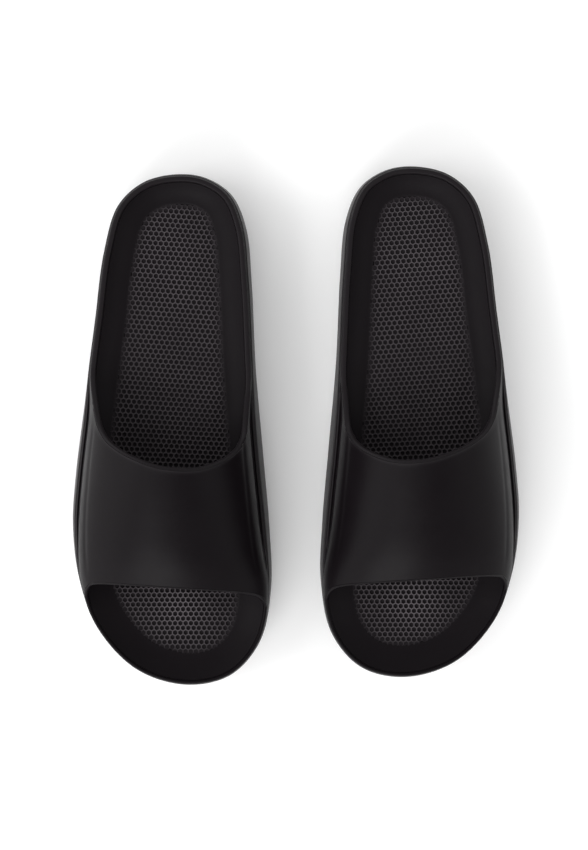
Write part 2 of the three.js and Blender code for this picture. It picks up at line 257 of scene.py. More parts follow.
COLUMNS = 480
around = np.arange(COLUMNS) / COLUMNS
OUTSOLE = 3.8  # from the ground to the midsole
WIDEST_RISE = 9.5  # from the wall's foot up to its widest line
SEAM_CLEARANCE = 2.6  # the least from the widest line up to the wall's upper edge
GROOVE_DEPTH = 1.9
HOLLOW_INSET = 9.4
HOLLOW_DEPTH = 8.3  # from the level of the foot down to the hollow's floor

# The wall's lean from its widest line in to its upper edge.
wall_lean = through([[0, 1.9], [0.12, 1.5], [0.36, 1.1], [0.5, 2.4], [0.63, 2.4], [0.75, 1.7],
                     [0.86, 0.5]])


def midsole_rings():
    """The midsole's section carried round the outline, from the middle of the underside up its
    wall, over the rounded upper edge, down the parting groove, and across the footbed's hollow."""
    here = station(inset_line(around, 0)[:, 1])
    bottom = sole_underside(here) + OUTSOLE
    seam = seam_height(here)
    widest = np.minimum(bottom + WIDEST_RISE, seam - SEAM_CLEARANCE)
    lean = wall_lean(here)
    groove = (0.55 + 0.45 * ease(0.36, 0.46, here)) * (1 - ease(0.74, 0.80, here))

    def under(inset, part):
        line = drawn_line(around, inset, part)
        return raised(line, sole_underside(station(line[:, 1])) + OUTSOLE)

    def hollow(part):
        line = drawn_line(around, HOLLOW_INSET, part)
        return raised(line, foot_height(station(line[:, 1])) - HOLLOW_DEPTH)

    # The pairs below are an inset and a rise, or on the wall a share of its lean and of its height.
    rings = [under(6, part) for part in (0.04, 0.3, 0.6, 0.85, 1)]
    foot = [(4.4, 0), (3.4, 0.05), (2.7, 0.3), (2.1, 0.8), (1.6, 1.6), (1.05, 3), (0.6, 4.7),
            (0.2, 6.6), (0.03, 8.2), (0, WIDEST_RISE)]
    rings += [raised(inset_line(around, inset), bottom + (widest - bottom) * rise / WIDEST_RISE)
              for inset, rise in foot]
    wall = [(0.02, 0.12), (0.08, 0.26), (0.18, 0.4), (0.32, 0.54), (0.49, 0.68), (0.66, 0.8),
            (0.81, 0.9), (0.94, 0.965)]
    rings += [raised(inset_line(around, lean * inset), widest + (seam - widest) * part)
              for inset, part in wall]
    lip = [(0.0, -0.4), (0.12, -0.17), (0.3, -0.04), (0.5, -0.03), (0.68, -0.2), (0.79, -0.5),
           (0.85, -0.9), (0.9, -GROOVE_DEPTH), (3.4, -GROOVE_DEPTH)]
    rings += [raised(inset_line(around, lean + inset), seam + rise * np.minimum(1, groove + 0.1))
              for inset, rise in lip]
    return rings + [hollow(part) for part in (1, 0.6, 0.3, 0.04)]


midsole_points, midsole_faces = rings_solid(midsole_rings())


class Value:
    """One output of a shader node. Arithmetic on it adds Math nodes to its tree."""

    def __init__(self, maker, socket):
        self.maker = maker
        self.socket = socket

    def math(self, operation, *terms):
        """A Math node of an operation on terms, each a value or a number."""
        return self.maker.node("Math", dict(enumerate(terms)), operation=operation)

    def __add__(self, other):
        return self.math("ADD", self, other)

    def __sub__(self, other):
        return self.math("SUBTRACT", self, other)

    def __rsub__(self, other):
        return self.math("SUBTRACT", other, self)

    def __mul__(self, other):
        return self.math("MULTIPLY", self, other)

    __radd__ = __add__
    __rmul__ = __mul__


class NodeMaker:
    """Adds nodes to one tree of shader nodes."""

    def __init__(self, tree):
        self.tree = tree

    def node(self, kind, sockets=None, output=0, **settings):
        """One output of a new node, made from its type, its settings, which are set first, and the
        values or links of its sockets, by name or number."""
        made = self.tree.nodes.new("ShaderNode" + kind)
        for key, value in settings.items():
            setattr(made, key, value)
        for key, value in (sockets or {}).items():
            if isinstance(value, Value):
                self.tree.links.new(value.socket, made.inputs[key])
            else:
                made.inputs[key].default_value = value
        return Value(self, made.outputs[output]) if made.outputs else None


class Finish(NodeMaker):
    """A material under construction, with the nodes that this pair's finishes share."""

    def __init__(self, name):
        self.material = bpy.data.materials.new(name)
        self.material.use_nodes = True
        super().__init__(self.material.node_tree)
        self.tree.nodes.clear()

    def noise(self, scale, detail, roughness):
        """Noise in the object's own coordinates, its scale in spots per metre."""
        place = self.node("TexCoord", output="Object")
        return self.node("TexNoise", {"Vector": place, "Scale": scale, "Detail": detail,
                                      "Roughness": roughness}, noise_dimensions="3D")

    def shades(self, amount, low, high):
        """A colour between two, by an amount; each is three numbers or another node's colour."""
        low, high = (shade if isinstance(shade, Value) else (*shade, 1) for shade in (low, high))
        return self.node("Mix", {0: amount, 6: low, 7: high}, output=2, data_type="RGBA")

    def bumps(self, height, strength, depth, below=None):
        """Bumps that stand a depth in metres where the height is 1, over any bumps below them."""
        sockets = {"Strength": strength, "Distance": depth, "Height": height}
        return self.node("Bump", sockets | ({"Normal": below} if below else {}))

    def surface(self, sockets):
        """The finished material: one main shader with these values and links."""
        shader = self.node("BsdfPrincipled", sockets)
        self.node("OutputMaterial", {"Surface": shader})
        return self.material


# A pale shade for edges: partly wear, partly a painted highlight along rims and the flanks' ridge.
WORN_AND_HIGHLIGHT_SHADE = (0.0205, 0.018, 0.0198)  # where edges have been rubbed pale


def moulded_foam(name, dark, light, roughness, pit_depth, sheen):
    """Closed-cell foam out of a mould: a fine pitted skin, slow changes of shade and gloss where it
    has been handled, and edges a little smoother and lighter, partly from wear and partly as a
    painted highlight.

    Its shade is a weighted sum of cloudy, smudged and grainy noise; the mark of wear and painted
    highlight then mixes in the pale shade, more on the grain's high spots, and takes a little off
    the roughness."""
    finish = Finish(name)
    cloud = finish.noise(28, 4, 0.6)
    smudge = finish.noise(75, 5, 0.65)
    pits = finish.noise(2600, 2, 0.5)
    grain = finish.noise(900, 3, 0.6)
    # The mark of pale edges, partly wear and partly a painted highlight.
    wear_and_highlight_mark = finish.node("Attribute", output="Fac", attribute_name="wear_and_highlight")
    shade = cloud * 0.55 + smudge * 0.35 + grain * 0.1
    colour = finish.shades(shade, dark, light)
    colour = finish.shades(wear_and_highlight_mark * (0.7 + grain * 0.6), colour, WORN_AND_HIGHLIGHT_SHADE)
    gloss = roughness + (smudge - 0.5) * 0.16 + (grain - 0.5) * 0.1 - wear_and_highlight_mark * 0.07
    skin = finish.bumps(pits, 0.35, pit_depth)
    skin = finish.bumps(grain, 0.3, 2.2 * pit_depth, skin)
    skin = finish.bumps(smudge, 0.25, 0.0004, skin)
    return finish.surface({"Base Color": colour, "Roughness": gloss, "Normal": skin,
                           "Specular IOR Level": sheen})


midsole_foam = moulded_foam("midsole foam", (0.0085, 0.0069, 0.0080), (0.0140, 0.0117, 0.0133),
                            roughness=0.5, pit_depth=0.00006, sheen=0.25)
# A pale band along the midsole's rounded upper edge at the seam: partly wear, partly a painted
# highlight.
above_seam = midsole_points[:, 2] - seam_height(station(midsole_points[:, 1]))
wear_and_highlight = 0.5 * ease(1.2, 0, np.abs(above_seam))
for side in SIDES:
    midsole = add_piece("midsole_body", midsole_points, midsole_faces, side, {"wear_and_highlight": wear_and_highlight})
    midsole.data.materials.append(midsole_foam)
    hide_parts(f"{side}_midsole")
    bend_with_forefoot(midsole)

# ======== Outsole ========
# Solid rubber under the foam, in two pieces that part under the ball of the foot. Slanted bars are
# moulded into it, with grooves between them that let water out and the sole bend.

FLEX_SLANT = np.radians(16)
TREAD_PITCH = 13.5
TREAD_GROOVE = 3.0
TREAD_DEPTH = 2.0
TREAD_BEVEL = 0.25
TREAD_DRAFT = 0.3  # how much narrower a groove is at its floor, on each side
SIDE_BEVEL = 0.6
GROOVES = range(-16, 9)  # counted from the ball line, towards the heel below nought
FLEX_GAP = 3.0
OUTSOLE_TOP = 3.5
OUTSOLE_INSET = 4.2
OUTSOLE_STEPS = 2400
TIP_TRIM = 0.4  # cut off the very tips, where a line across the sole would have no length
right_flex = next(joint for joint in frame["joints"] if joint["name"] == "right_flex")
flex_point = TO_MM * np.array(right_flex["pos_m"])


def tread_rows(first, last):
    """Distances ahead of the ball line at which the tread's bars and grooves begin and end, each
    edge taken twice for its bevel, with the depth of the tread there. The middle groove is left
    out, because the gap between the two outsoles takes its place."""
    half = TREAD_GROOVE / 2
    groove = [(-half - TREAD_BEVEL, 0), (-half, TREAD_BEVEL), (-half + TREAD_DRAFT, TREAD_DEPTH),
              (half - TREAD_DRAFT, TREAD_DEPTH), (half, TREAD_BEVEL), (half + TREAD_BEVEL, 0),
              (TREAD_PITCH / 3, 0), (TREAD_PITCH / 2, 0), (2 * TREAD_PITCH / 3, 0)]
    rows = [(n * TREAD_PITCH + place, depth)
            for n in GROOVES for place, depth in (groove if n else groove[5:])]
    clear = TREAD_BEVEL + 0.05
    rows = np.array([row for row in rows if first + clear < row[0] < last - clear])
    return np.vstack([[first, TREAD_BEVEL], [first + TREAD_BEVEL, 0], rows,
                      [last - TREAD_BEVEL, 0], [last, TREAD_BEVEL]])


def outsole_piece(first, last, across=40):
    """One piece of the outsole: lines slanted like the ball line, from one side of the inset outline
    to the other, closer near both, with the tread cut up from below. Its face is the sole's
    underside raised by the tread's depth, and its top the same underside raised by its thickness."""
    outline = inset_line(np.arange(OUTSOLE_STEPS) / OUTSOLE_STEPS, OUTSOLE_INSET) - flex_point[:2]
    forward = np.array([-np.sin(FLEX_SLANT), -np.cos(FLEX_SLANT)])
    sideways = np.array([np.cos(FLEX_SLANT), -np.sin(FLEX_SLANT)])
    v, w = outline @ forward, outline @ sideways
    first, last = max(first, v.min() + TIP_TRIM), min(last, v.max() - TIP_TRIM)
    rows = tread_rows(first, last)
    tail, tip = v.argmin(), v.argmax()
    both = np.stack([v, w])
    low_side = np.roll(both, -tail, axis=1)[:, : (tip - tail) % OUTSOLE_STEPS + 1]
    high_side = np.roll(both, -tip, axis=1)[:, : (tail - tip) % OUTSOLE_STEPS + 1]
    outer = np.interp(rows[:, 0], *low_side)
    inner = np.interp(rows[:, 0], high_side[0, ::-1], high_side[1, ::-1])
    q = (1 - np.cos(np.linspace(0, np.pi, across))) / 2
    q = 0.5 * q + 0.5 * np.linspace(0, 1, across)
    reach = outer[:, None] + (inner - outer)[:, None] * q
    ground = flex_point[:2] + rows[:, :1, None] * forward + reach[..., None] * sideways
    under = sole_underside(station(ground[..., 1]))
    side_bevel = np.maximum(SIDE_BEVEL - np.minimum(q, 1 - q) * (inner - outer)[:, None], 0)
    below = np.dstack([ground, under + rows[:, 1:2] + side_bevel])
    above = np.dstack([ground, under + OUTSOLE_TOP])
    count, total = len(rows), len(rows) * across
    index = np.arange(total).reshape(count, across)
    sheet = np.stack([index[:-1, :-1], index[:-1, 1:], index[1:, 1:], index[1:, :-1]], axis=-1)
    sheet = sheet.reshape(-1, 4)
    rim = np.concatenate([index[0, :-1], index[:-1, -1], index[-1, :0:-1], index[:0:-1, 0]])
    beside = np.roll(rim, -1)
    skirt = np.stack([rim, rim + total, beside + total, beside], axis=-1)
    points = np.vstack([below.reshape(-1, 3), above.reshape(-1, 3)])
    return points, np.vstack([sheet, sheet[:, ::-1] + total, skirt])


def tread_rubber():
    """Black rubber compound: duller than the foam, with a cloudy bloom in its shade and gloss over
    a fine sandy skin."""
    finish = Finish("tread rubber")
    bloom = finish.noise(160, 5, 0.7)
    sand = finish.noise(1900, 2, 0.55)
    colour = finish.shades(bloom, (0.011, 0.011, 0.0115), (0.024, 0.0235, 0.023))
    skin = finish.bumps(sand, 0.5, 0.00012)
    return finish.surface({"Base Color": colour, "Roughness": 0.66 + (bloom - 0.5) * 0.2,
                           "Normal": skin, "Specular IOR Level": 0.07})


tread = tread_rubber()
for side in SIDES:
    for part, (first, last) in {"rear": (-400, -FLEX_GAP / 2), "front": (FLEX_GAP / 2, 400)}.items():
        outsole = add_piece(f"{part}_tread", *outsole_piece(first, last), side)
        outsole.data.materials.append(tread)
        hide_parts(f"{side}_{part}_outsole")
        bend_with_forefoot(outsole)

# ======== Upper ========
# One sheet of foam, softer than the midsole: a low collar round the heel, two flanks with a ridge
# and a groove along them, the wide strap arched between the flanks, and a thin rim round the toe.

ARCH_COLUMNS = 90  # across the strap, from one flank to the other
STRAP_ROWS = 84  # along the strap, from its rear edge to its front edge
HEEL_COLUMNS = 190  # of the band, from one rear corner of the strap round the heel to the other
TOE_COLUMNS = 150
STRAP_THICKNESS = 3.3
COLLAR_THICKNESS = 3.1
TOE_THINNING = 1.4
COLLAR_RISE = 2.9  # of the band round the heel, above the seam
# Where the strap's rear and front edges cross the arch: [angle round the arch, station].
REAR_EDGE = [[0, 0.385], [4, 0.412], [9, 0.437], [15, 0.463], [22, 0.488], [30, 0.5075],
             [38, 0.523], [48, 0.537], [57, 0.548], [67, 0.558], [77, 0.567], [87, 0.5735],
             [98, 0.577], [108, 0.578], [118, 0.576], [128, 0.570], [137, 0.5625],
             [146, 0.5535], [154, 0.543], [161, 0.532], [168, 0.516], [173, 0.498],
             [177, 0.470], [180, 0.425]]
FRONT_EDGE = [[0, 0.828], [4, 0.820], [10, 0.810], [20, 0.800], [45, 0.797], [90, 0.802],
              [135, 0.811], [158, 0.819], [169, 0.828], [176, 0.838], [180, 0.846]]
arch_rise = through([[0.38, 44], [0.55, 43.5], [0.6, 41.8], [0.68, 38], [0.74, 34.8], [0.8, 29.8],
                     [0.85, 24.6]])
band_rise = through([[0.3, COLLAR_RISE], [0.38, 3.3], [0.47, 5.5], [0.75, 5.4], [0.83, 3.4], [0.9, 1.8],
                     [1, 1.6]])


def arch_angles():
    """Angles of the strap's columns round its arch, in degrees from the outer flank over to the
    inner one: part even steps and part a smooth rise, so that they stand closer near both flanks."""
    q = np.linspace(0, 1, ARCH_COLUMNS + 1)
    return 180 * (0.42 * q + 0.58 * q * q * (3 - 2 * q))


def strap_stations():
    """Stations of the strap's grid: each column runs from the rear edge to the front edge, by part
    even steps and part a smooth rise, so that its rows stand closer at both."""
    q = np.linspace(0, 1, STRAP_ROWS + 1)
    forward = 0.32 * q + 0.68 * q * q * (3 - 2 * q)
    angles = arch_angles()
    rear = through(REAR_EDGE)(angles)
    front = through(FRONT_EDGE)(angles)
    return rear + (front - rear) * forward[:, None]


def band_columns(stations):
    """Shares of the outline for the band's columns, starting at the strap's rear on the outer side
    and going round the heel, along the inner side, round the toe and back along the outer side."""
    outer = side_share(stations[:, 0], "outer")
    inner = side_share(stations[:, -1], "inner") - 1
    heel = np.linspace(outer[0], inner[0], HEEL_COLUMNS)[1:-1]
    toe = np.linspace(inner[-1], outer[-1] - 1, TOE_COLUMNS)[1:-1]
    return np.concatenate([heel, inner, toe, outer[::-1] - 1]), len(heel)


def flank_part(where, outer):
    """1 along the ridged flanks of the upper and 0 round the heel and toe: a smooth rise behind the
    strap's middle times a smooth fall before it, with places of its own on either side."""
    outer_flank = ease(0.37, 0.48, where) * ease(0.83, 0.65, where)
    return np.where(outer, outer_flank, ease(0.39, 0.5, where) * ease(0.84, 0.66, where))


def toe_part(where):
    """1 round the toe, where the upper is a thin rim, and 0 behind the strap's front edge."""
    return ease(0.75, 0.86, where)


def rim_thickness(where):
    """Thickness of the upper: the collar, a little more along the flanks, thin round the toe."""
    return COLLAR_THICKNESS + 0.2 * ease(0.42, 0.5, where) - TOE_THINNING * toe_part(where)


# The band's sections, bottom row first: inset from the top of the midsole's wall, and height.
PLAIN_BAND = np.array([[1.25, -1.6], [1.16, -0.6], [0.94, 0.1], [0.78, 0.5], [0.72, 0.85],
                       [0.7, 1.2], [0.71, 1.5], [0.74, 1.8], [0.78, 2.05], [0.84, 2.3],
                       [0.91, 2.5], [1.0, 2.68], [1.1, 2.82], [1.2, COLLAR_RISE]])
RIDGED_BAND = np.array([[1.15, -1.6], [1.0, -0.7], [0.84, -0.1], [0.76, 0.3], [0.8, 0.8],
                        [0.98, 1.25], [1.26, 1.55], [1.56, 1.64], [1.8, 1.5], [1.97, 1.05],
                        [2.12, 0.85], [2.34, 1.1], [2.75, 2.6], [3.3, 5.2]])
TOE_RIM = np.array([[0.4, 0.05], [0.2, 0.15], [0.12, 0.3], [0.1, 0.45], [0.11, 0.6], [0.13, 0.75],
                    [0.16, 0.9], [0.19, 1.05], [0.23, 1.18], [0.27, 1.3], [0.31, 1.4],
                    [0.35, 1.5], [0.39, 1.6], [0.44, 1.7]])
RIDGE_ROW = 7  # the row along the top of the flanks' ridge


def inner_wall(where, outer):
    """How far inside the outline the upper's inner wall stands, on its outer or inner side: the
    midsole's lean, the inset of the band's top row, and the upper's thickness, added up."""
    plain, ridged, rim = PLAIN_BAND[-1, 0], RIDGED_BAND[-1, 0], TOE_RIM[-1, 0]
    top = plain + (ridged - plain) * flank_part(where, outer)
    top = top + (rim - top) * toe_part(where)
    return wall_lean(where) + top + rim_thickness(where)


def band_section(where, share):
    """The band's outer face at each column, bottom row first: inset and height above the seam.

    The three drawn sections are mixed by how much of a flank and of the toe a column is. Round the
    heel it is a plain wall, along the flanks a ridge stands over the parting groove with a second
    groove above it, and round the toe it is a low rim. Heights above the seam are stretched so
    that the top row is at the band's rise."""
    flank = flank_part(where, np.mod(share, 1) < toe_share)
    toe = toe_part(where)
    flank, toe = flank[None, :, None], toe[None, :, None]
    section = PLAIN_BAND[:, None] + (RIDGED_BAND - PLAIN_BAND)[:, None] * flank
    section = section + (TOE_RIM[:, None] - section) * toe
    inset, rise = section[..., 0] + wall_lean(where), section[..., 1]
    top = band_rise(where)
    return inset, np.where(rise > 0, rise * top / rise[-1], rise)


LOOP_SMOOTHINGS = 3


def loop_step(points):
    """Unit direction along a closed loop at each of its points: from the point before to the one
    after, then a few times the mean of itself, twice, and its two neighbours."""
    along = np.roll(points, -1, axis=0) - np.roll(points, 1, axis=0)
    for _ in range(LOOP_SMOOTHINGS):
        along = (np.roll(along, 1, axis=0) + 2 * along + np.roll(along, -1, axis=0)) / 4
    return along / np.linalg.norm(along, axis=1)[:, None]


def rounded_edge(outer, inner, outwards, steps):
    """Rows of a full edge between two loops, each swinging from outer to inner and standing out
    along the sheet: a half circle whose sine and cosine are taken to a power below one, so its
    corners fill out and its face lies flatter. Round the toe it is a plain half circle."""
    middle, half = (outer + inner) / 2, (outer - inner) / 2
    reach = np.linalg.norm(half, axis=1)[:, None]
    power = 0.7 + 0.3 * toe_part(station(outer[:, 1:2]))
    rows = []
    for a in np.linspace(0, np.pi, steps + 1)[1:-1]:
        across = np.sign(np.cos(a)) * abs(np.cos(a)) ** power
        rows.append(middle + across * half + np.sin(a) ** power * reach * outwards)
    return rows


def sheet_normals(points, faces):
    """Unit normal at each point: the sum, made one long, of its faces' normals by area, each the
    cross product of the face's diagonals."""
    across = points[faces[:, 2]] - points[faces[:, 0]]
    normal = np.cross(across, points[faces[:, 3]] - points[faces[:, 1]])
    total = np.zeros_like(points)
    for k in range(4):
        np.add.at(total, faces[:, k], normal)
    return total / np.maximum(np.linalg.norm(total, axis=1), 1e-9)[:, None]


def reach_to(points, line):
    """Distance of each point from the nearest point of a line, worked out in blocks to spare
    memory."""
    blocks = np.array_split(points, len(points) // 2000 + 1)
    return np.concatenate([np.linalg.norm(block[:, None] - line, axis=-1).min(axis=1)
                           for block in blocks])


def strap_arch(stations, outer_inset, inner_inset):
    """The strap as a grid, each row an arch over the foot that springs from the band on both sides.

    A point lies part of the way from the row's outer foot to its inner foot, by half of one less
    the angle's cosine with a small skew, and is lifted by the arch's rise times nearly its sine."""
    angle = np.radians(arch_angles())
    swing = (1 - np.cos(angle)) / 2 + 0.04 * np.sin(2 * angle)

    def feet(side, edge_stations, edge_inset):
        inset = np.interp(stations, edge_stations, edge_inset)
        ground = inset_line(side_share(stations, side), inset)
        return np.dstack([ground, seam_height(stations) + band_rise(stations)])

    outer = feet("outer", stations[:, 0], outer_inset)
    inner = feet("inner", stations[:, -1], inner_inset)
    arch = outer + (inner - outer) * swing[None, :, None]
    arch[..., 2] += arch_rise(stations) * np.sin(angle) ** 0.96 * (1 - 0.04 * np.cos(angle))
    return arch


LIP_RISE = 0.1  # how proud the rolled lip of the strap's rear edge stands
LIP_ANGLE = 14  # the lip fades out this many degrees from either flank
CREASE_DEPTH = 0.3
CREASE_WIDTH = 2.2  # in degrees
CREASES = (17, 163)  # where a flank's facet ends and the strap's smooth top begins


def pressed(points, faces, strap, stations):
    """The sheet with the strap's small shapes, each a move along the normals: the rear edge's lip,
    by a smooth fall with the distance from it, and two soft creases, each a bell curve across the
    arch that fades out towards the strap's rear and front."""
    angle = arch_angles()
    from_edge = reach_to(points[strap].reshape(-1, 3), points[strap[0, ::2]]).reshape(strap.shape)
    lip = LIP_RISE * ease(3.0, 0.6, from_edge)
    lip *= ease(0, LIP_ANGLE, angle) * ease(180, 180 - LIP_ANGLE, angle)
    points = points.copy()
    points[strap] += sheet_normals(points, faces)[strap] * lip[..., None]
    normals = sheet_normals(points, faces)[strap]
    fade = ease(0.47, 0.52, stations) * ease(0.80, 0.74, stations)
    for middle in CREASES:
        crease = CREASE_DEPTH * np.exp(-(((angle - middle) / CREASE_WIDTH) ** 2))
        points[strap] -= normals * (crease * fade)[..., None]
    return points


BLEND_ANGLE = 22  # degrees of the arch over which the strap's inner face leaves the band's


def outward_directions(points, faces, strap, share, rows):
    """Unit direction at each point along which the sheet has its thickness: square to the outline
    on the band, the sheet's own normal on the strap, and a smooth change between the two over the
    strap's first degrees from either flank."""
    direction = sheet_normals(points, faces)
    square = np.column_stack([inset_line(share, 0) - inset_line(share, 1), np.zeros(len(share))])
    direction[: rows * len(share)] = np.tile(square, (rows, 1))
    angle = arch_angles()
    fade = ease(0, BLEND_ANGLE, np.minimum(angle, 180 - angle))[None, :, None]
    near = np.where((angle < 90)[None, :, None], direction[strap[:, :1]], direction[strap[:, -1:]])
    mixed = near + (direction[strap] - near) * fade
    mixed /= np.linalg.norm(mixed, axis=-1)[..., None]
    direction[strap[:, 1:-1]] = mixed[:, 1:-1]
    return direction


def upper_solid():
    """The whole upper as one closed skin: an outer sheet of band and strap, the same sheet moved
    inwards by its thickness, and three edges that join them, round the heel's opening, round the
    toe's and along the band's foot. It gives the points, the faces part by part, and the lines
    along which the upper is painted pale, for wear and a painted highlight: the middles of both
    openings' lips and the flanks' ridge."""
    stations = strap_stations()
    share, heel_count = band_columns(stations)
    where = station(inset_line(share, 0)[:, 1])
    flank_side = np.mod(share, 1) < toe_share
    inset, rise = band_section(where, share)
    band = np.stack([np.column_stack([inset_line(share, row), seam_height(where) + up])
                     for row, up in zip(inset, rise)])
    rows, columns = inset.shape
    band_count = rows * columns

    # The strap shares the points of the band's top row on both sides.
    inner_line = np.arange(heel_count, heel_count + STRAP_ROWS + 1)
    outer_line = np.arange(columns - 1, columns - STRAP_ROWS - 2, -1)
    arch = strap_arch(stations, inset[-1][outer_line], inset[-1][inner_line])
    top_row = band_count - columns
    strap = band_count + np.arange(arch[..., 0].size).reshape(arch.shape[:2])
    strap[:, 0] = top_row + outer_line
    strap[:, -1] = top_row + inner_line
    strap_faces = np.stack([strap[:-1, :-1], strap[1:, :-1], strap[1:, 1:], strap[:-1, 1:]], axis=-1)
    faces = np.vstack([ring_faces(rows, columns), strap_faces.reshape(-1, 4)])
    outer = pressed(np.vstack([band.reshape(-1, 3), arch.reshape(-1, 3)]), faces, strap, stations)

    thickness = np.full(len(outer), STRAP_THICKNESS)
    thickness[:band_count] = np.tile(rim_thickness(where), rows)
    thickness[strap[:, 1:-1]] -= TOE_THINNING * toe_part(stations)[:, 1:-1]
    inner = outer - outward_directions(outer, faces, strap, share, rows) * thickness[:, None]
    wall_line = inset_line(share, inner_wall(where, flank_side))
    inner[:band_count, :2] = np.tile(wall_line, (rows, 1))

    heel_loop = np.concatenate([top_row + np.arange(heel_count), strap[0, ::-1]])
    toe_line = np.arange(inner_line[-1] + 1, outer_line[-1])
    toe_loop = np.concatenate([top_row + toe_line, strap[-1, :]])
    foot_loop = np.arange(columns)
    points = [outer, inner]
    parts = [faces, faces[:, ::-1] + len(outer)]
    total = 2 * len(outer)
    for loop, steps in ((heel_loop, 10), (toe_loop, 10), (foot_loop, 4)):
        if loop is foot_loop:
            outwards = np.array([0, 0, -0.05])  # almost flat, on the midsole's groove
        else:
            outwards = np.cross(outer[loop] - inner[loop], loop_step(outer[loop]))
            outwards /= np.linalg.norm(outwards, axis=1)[:, None]
            outwards *= np.sign(outwards[:, 2].mean())
        strips = rounded_edge(outer[loop], inner[loop], outwards, steps)
        ids = [loop] + [total + k * len(loop) + np.arange(len(loop)) for k in range(len(strips))]
        ids.append(loop + len(outer))
        total += len(strips) * len(loop)
        points += strips
        parts += [np.stack([low, np.roll(low, -1), np.roll(high, -1), high], axis=-1)
                  for low, high in zip(ids[:-1], ids[1:])]
    rear_lip, front_lip = ((outer[loop] + inner[loop]) / 2 for loop in (heel_loop, toe_loop))
    ridge = band[RIDGE_ROW][flank_part(where, flank_side) > 0.5]
    return np.vstack(points), parts, (rear_lip, front_lip, ridge)


def wound_alike(parts):
    """Turns each strip of faces so that every edge it shares with an earlier one runs the other
    way, as it does on a closed skin."""
    done = [parts[0]]
    for part in parts[1:]:
        known = np.vstack(done)
        edges = np.vstack([np.stack([known[:, k], known[:, (k + 1) % 4]], -1) for k in range(4)])
        mine = np.vstack([np.stack([part[:, k], part[:, (k + 1) % 4]], -1) for k in range(4)])
        size = edges.max() + mine.max() + 2
        same = np.isin(mine[:, 0] * size + mine[:, 1], edges[:, 0] * size + edges[:, 1]).sum()
        other = np.isin(mine[:, 1] * size + mine[:, 0], edges[:, 0] * size + edges[:, 1]).sum()
        done.append(part[:, ::-1] if same > other else part)
    return np.vstack(done)


upper_points, upper_parts, (rear_lip, front_lip, ridge) = upper_solid()
upper_faces = wound_alike(upper_parts)
upper_foam = moulded_foam("upper foam", (0.0034, 0.0023, 0.0031), (0.0058, 0.0044, 0.0054),
                          roughness=0.39, pit_depth=0.00005, sheen=0.07)
# Pale marks of wear and painted highlight along the rim of the heel's opening, the strap's front edge
# and the top of the flanks' ridge; the ridge's line mostly stands in for a highlight.
wear_and_highlight = np.maximum.reduce([0.75 * ease(2.4, 1.0, reach_to(upper_points, rear_lip)),
                            0.65 * ease(1.0, 0.3, reach_to(upper_points, front_lip)),
                            ease(0.9, 0.35, reach_to(upper_points, ridge))])
for side in SIDES:
    upper = add_piece("strap_and_collar", upper_points, upper_faces, side, {"wear_and_highlight": wear_and_highlight})
    upper.data.materials.append(upper_foam)
    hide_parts(f"{side}_upper")
    bend_with_forefoot(upper)

# ======== Footbed ========
# A dished foam insert that fills the hollow of the midsole: deep round the heel, shallow under the
# toes. Its smooth border climbs to the collar, and its middle carries a honeycomb of low ribs.

PATCH_INSET = 17.0  # from the outline to the honeycomb
CELL_PITCH = 3.0
RIB_RISE = 0.3
CELL_DEPTH = 0.6
ROW_SHARE = 0.885  # the pitch of the rows of cells as a share of the pitch across
PATCH_THICKNESS = 3.2
FLOOR_INSET = 9.6
FLOOR_DEPTH = 7.9  # from the level of the foot down to the insert's underside
BORDER_INSET = 21  # the border's rings follow the outline as far in as this, and half as far again
MIDDLE_INSET = 29  # the rings inside them close in from here
RIM_GAP = 0.03
RIM_DROP = 1  # from the upper's edge down to the insert's
RIM_CLIMB = 17  # how far in from the rim the border begins to climb, and a little more at the toe
CLIMB_POWER = 2.2
ARCH_SWELL = 2.2
RUBBED_INSET = 22  # where the foot's edge rubs the border
HEEL_SLANT = 4  # degrees by which the rows of cells are turned behind the strap
HEEL_SPINE_X = -66  # where the middle of the pattern starts at the heel
dense_shares = np.arange(1200) / 1200
dense_edge = inset_line(dense_shares, 0)
dense_inward = inset_line(dense_shares, 1) - dense_edge


def edge_distance(xy):
    """Distance of points from the outline of the sole, positive inside: that of the nearest point
    of the outline, with the sign of the way inwards there. It is worked out in blocks to spare
    memory."""
    flat = xy.reshape(-1, 2)
    found = []
    for block in np.array_split(flat, max(1, len(flat) // 3000)):
        square = (block[:, :1] - dense_edge[:, 0]) ** 2 + (block[:, 1:] - dense_edge[:, 1]) ** 2
        near = square.argmin(axis=1)
        across = np.einsum("ij,ij->i", block - dense_edge[near], dense_inward[near])
        found.append(np.sqrt(square[np.arange(len(block)), near]) * np.sign(across))
    return np.concatenate(found).reshape(xy.shape[:-1])


def bed_inset(xy):
    """How far inside the outline the footbed ends, close against the upper's inner wall."""
    return inner_wall(station(xy[..., 1]), xy[..., 0] < MIDDLE_X) + RIM_GAP


def bed_surface(xy, distance):
    """Height of the dished footbed: level in the middle, climbing to the rim as a power of the way
    out, with a bell-shaped swell under the arch of the foot that grows towards the inner side."""
    where = station(xy[..., 1])
    edge = seam_height(where) + np.minimum(band_rise(where), COLLAR_RISE) - RIM_DROP + toe_part(where)
    reach = RIM_CLIMB + 4 * ease(0.7, 0.85, where)
    out = np.clip(1 - (distance - bed_inset(xy)) / reach, 0, 1)
    level = foot_height(where) - 0.6 * ease(0.6, 0.5, where)
    arch = np.exp(-(((where - 0.46) / 0.1) ** 2)) * ease(-72, -40, xy[..., 0]) * ARCH_SWELL
    return level + (edge - level) * out**CLIMB_POWER + arch * (1 - out)


def patch_hollow(distance):
    """How far the border's surface is sunk beneath the honeycomb: a smooth fall past its edge."""
    return 2.0 * ease(PATCH_INSET + 0.4, PATCH_INSET + 3.2, distance)


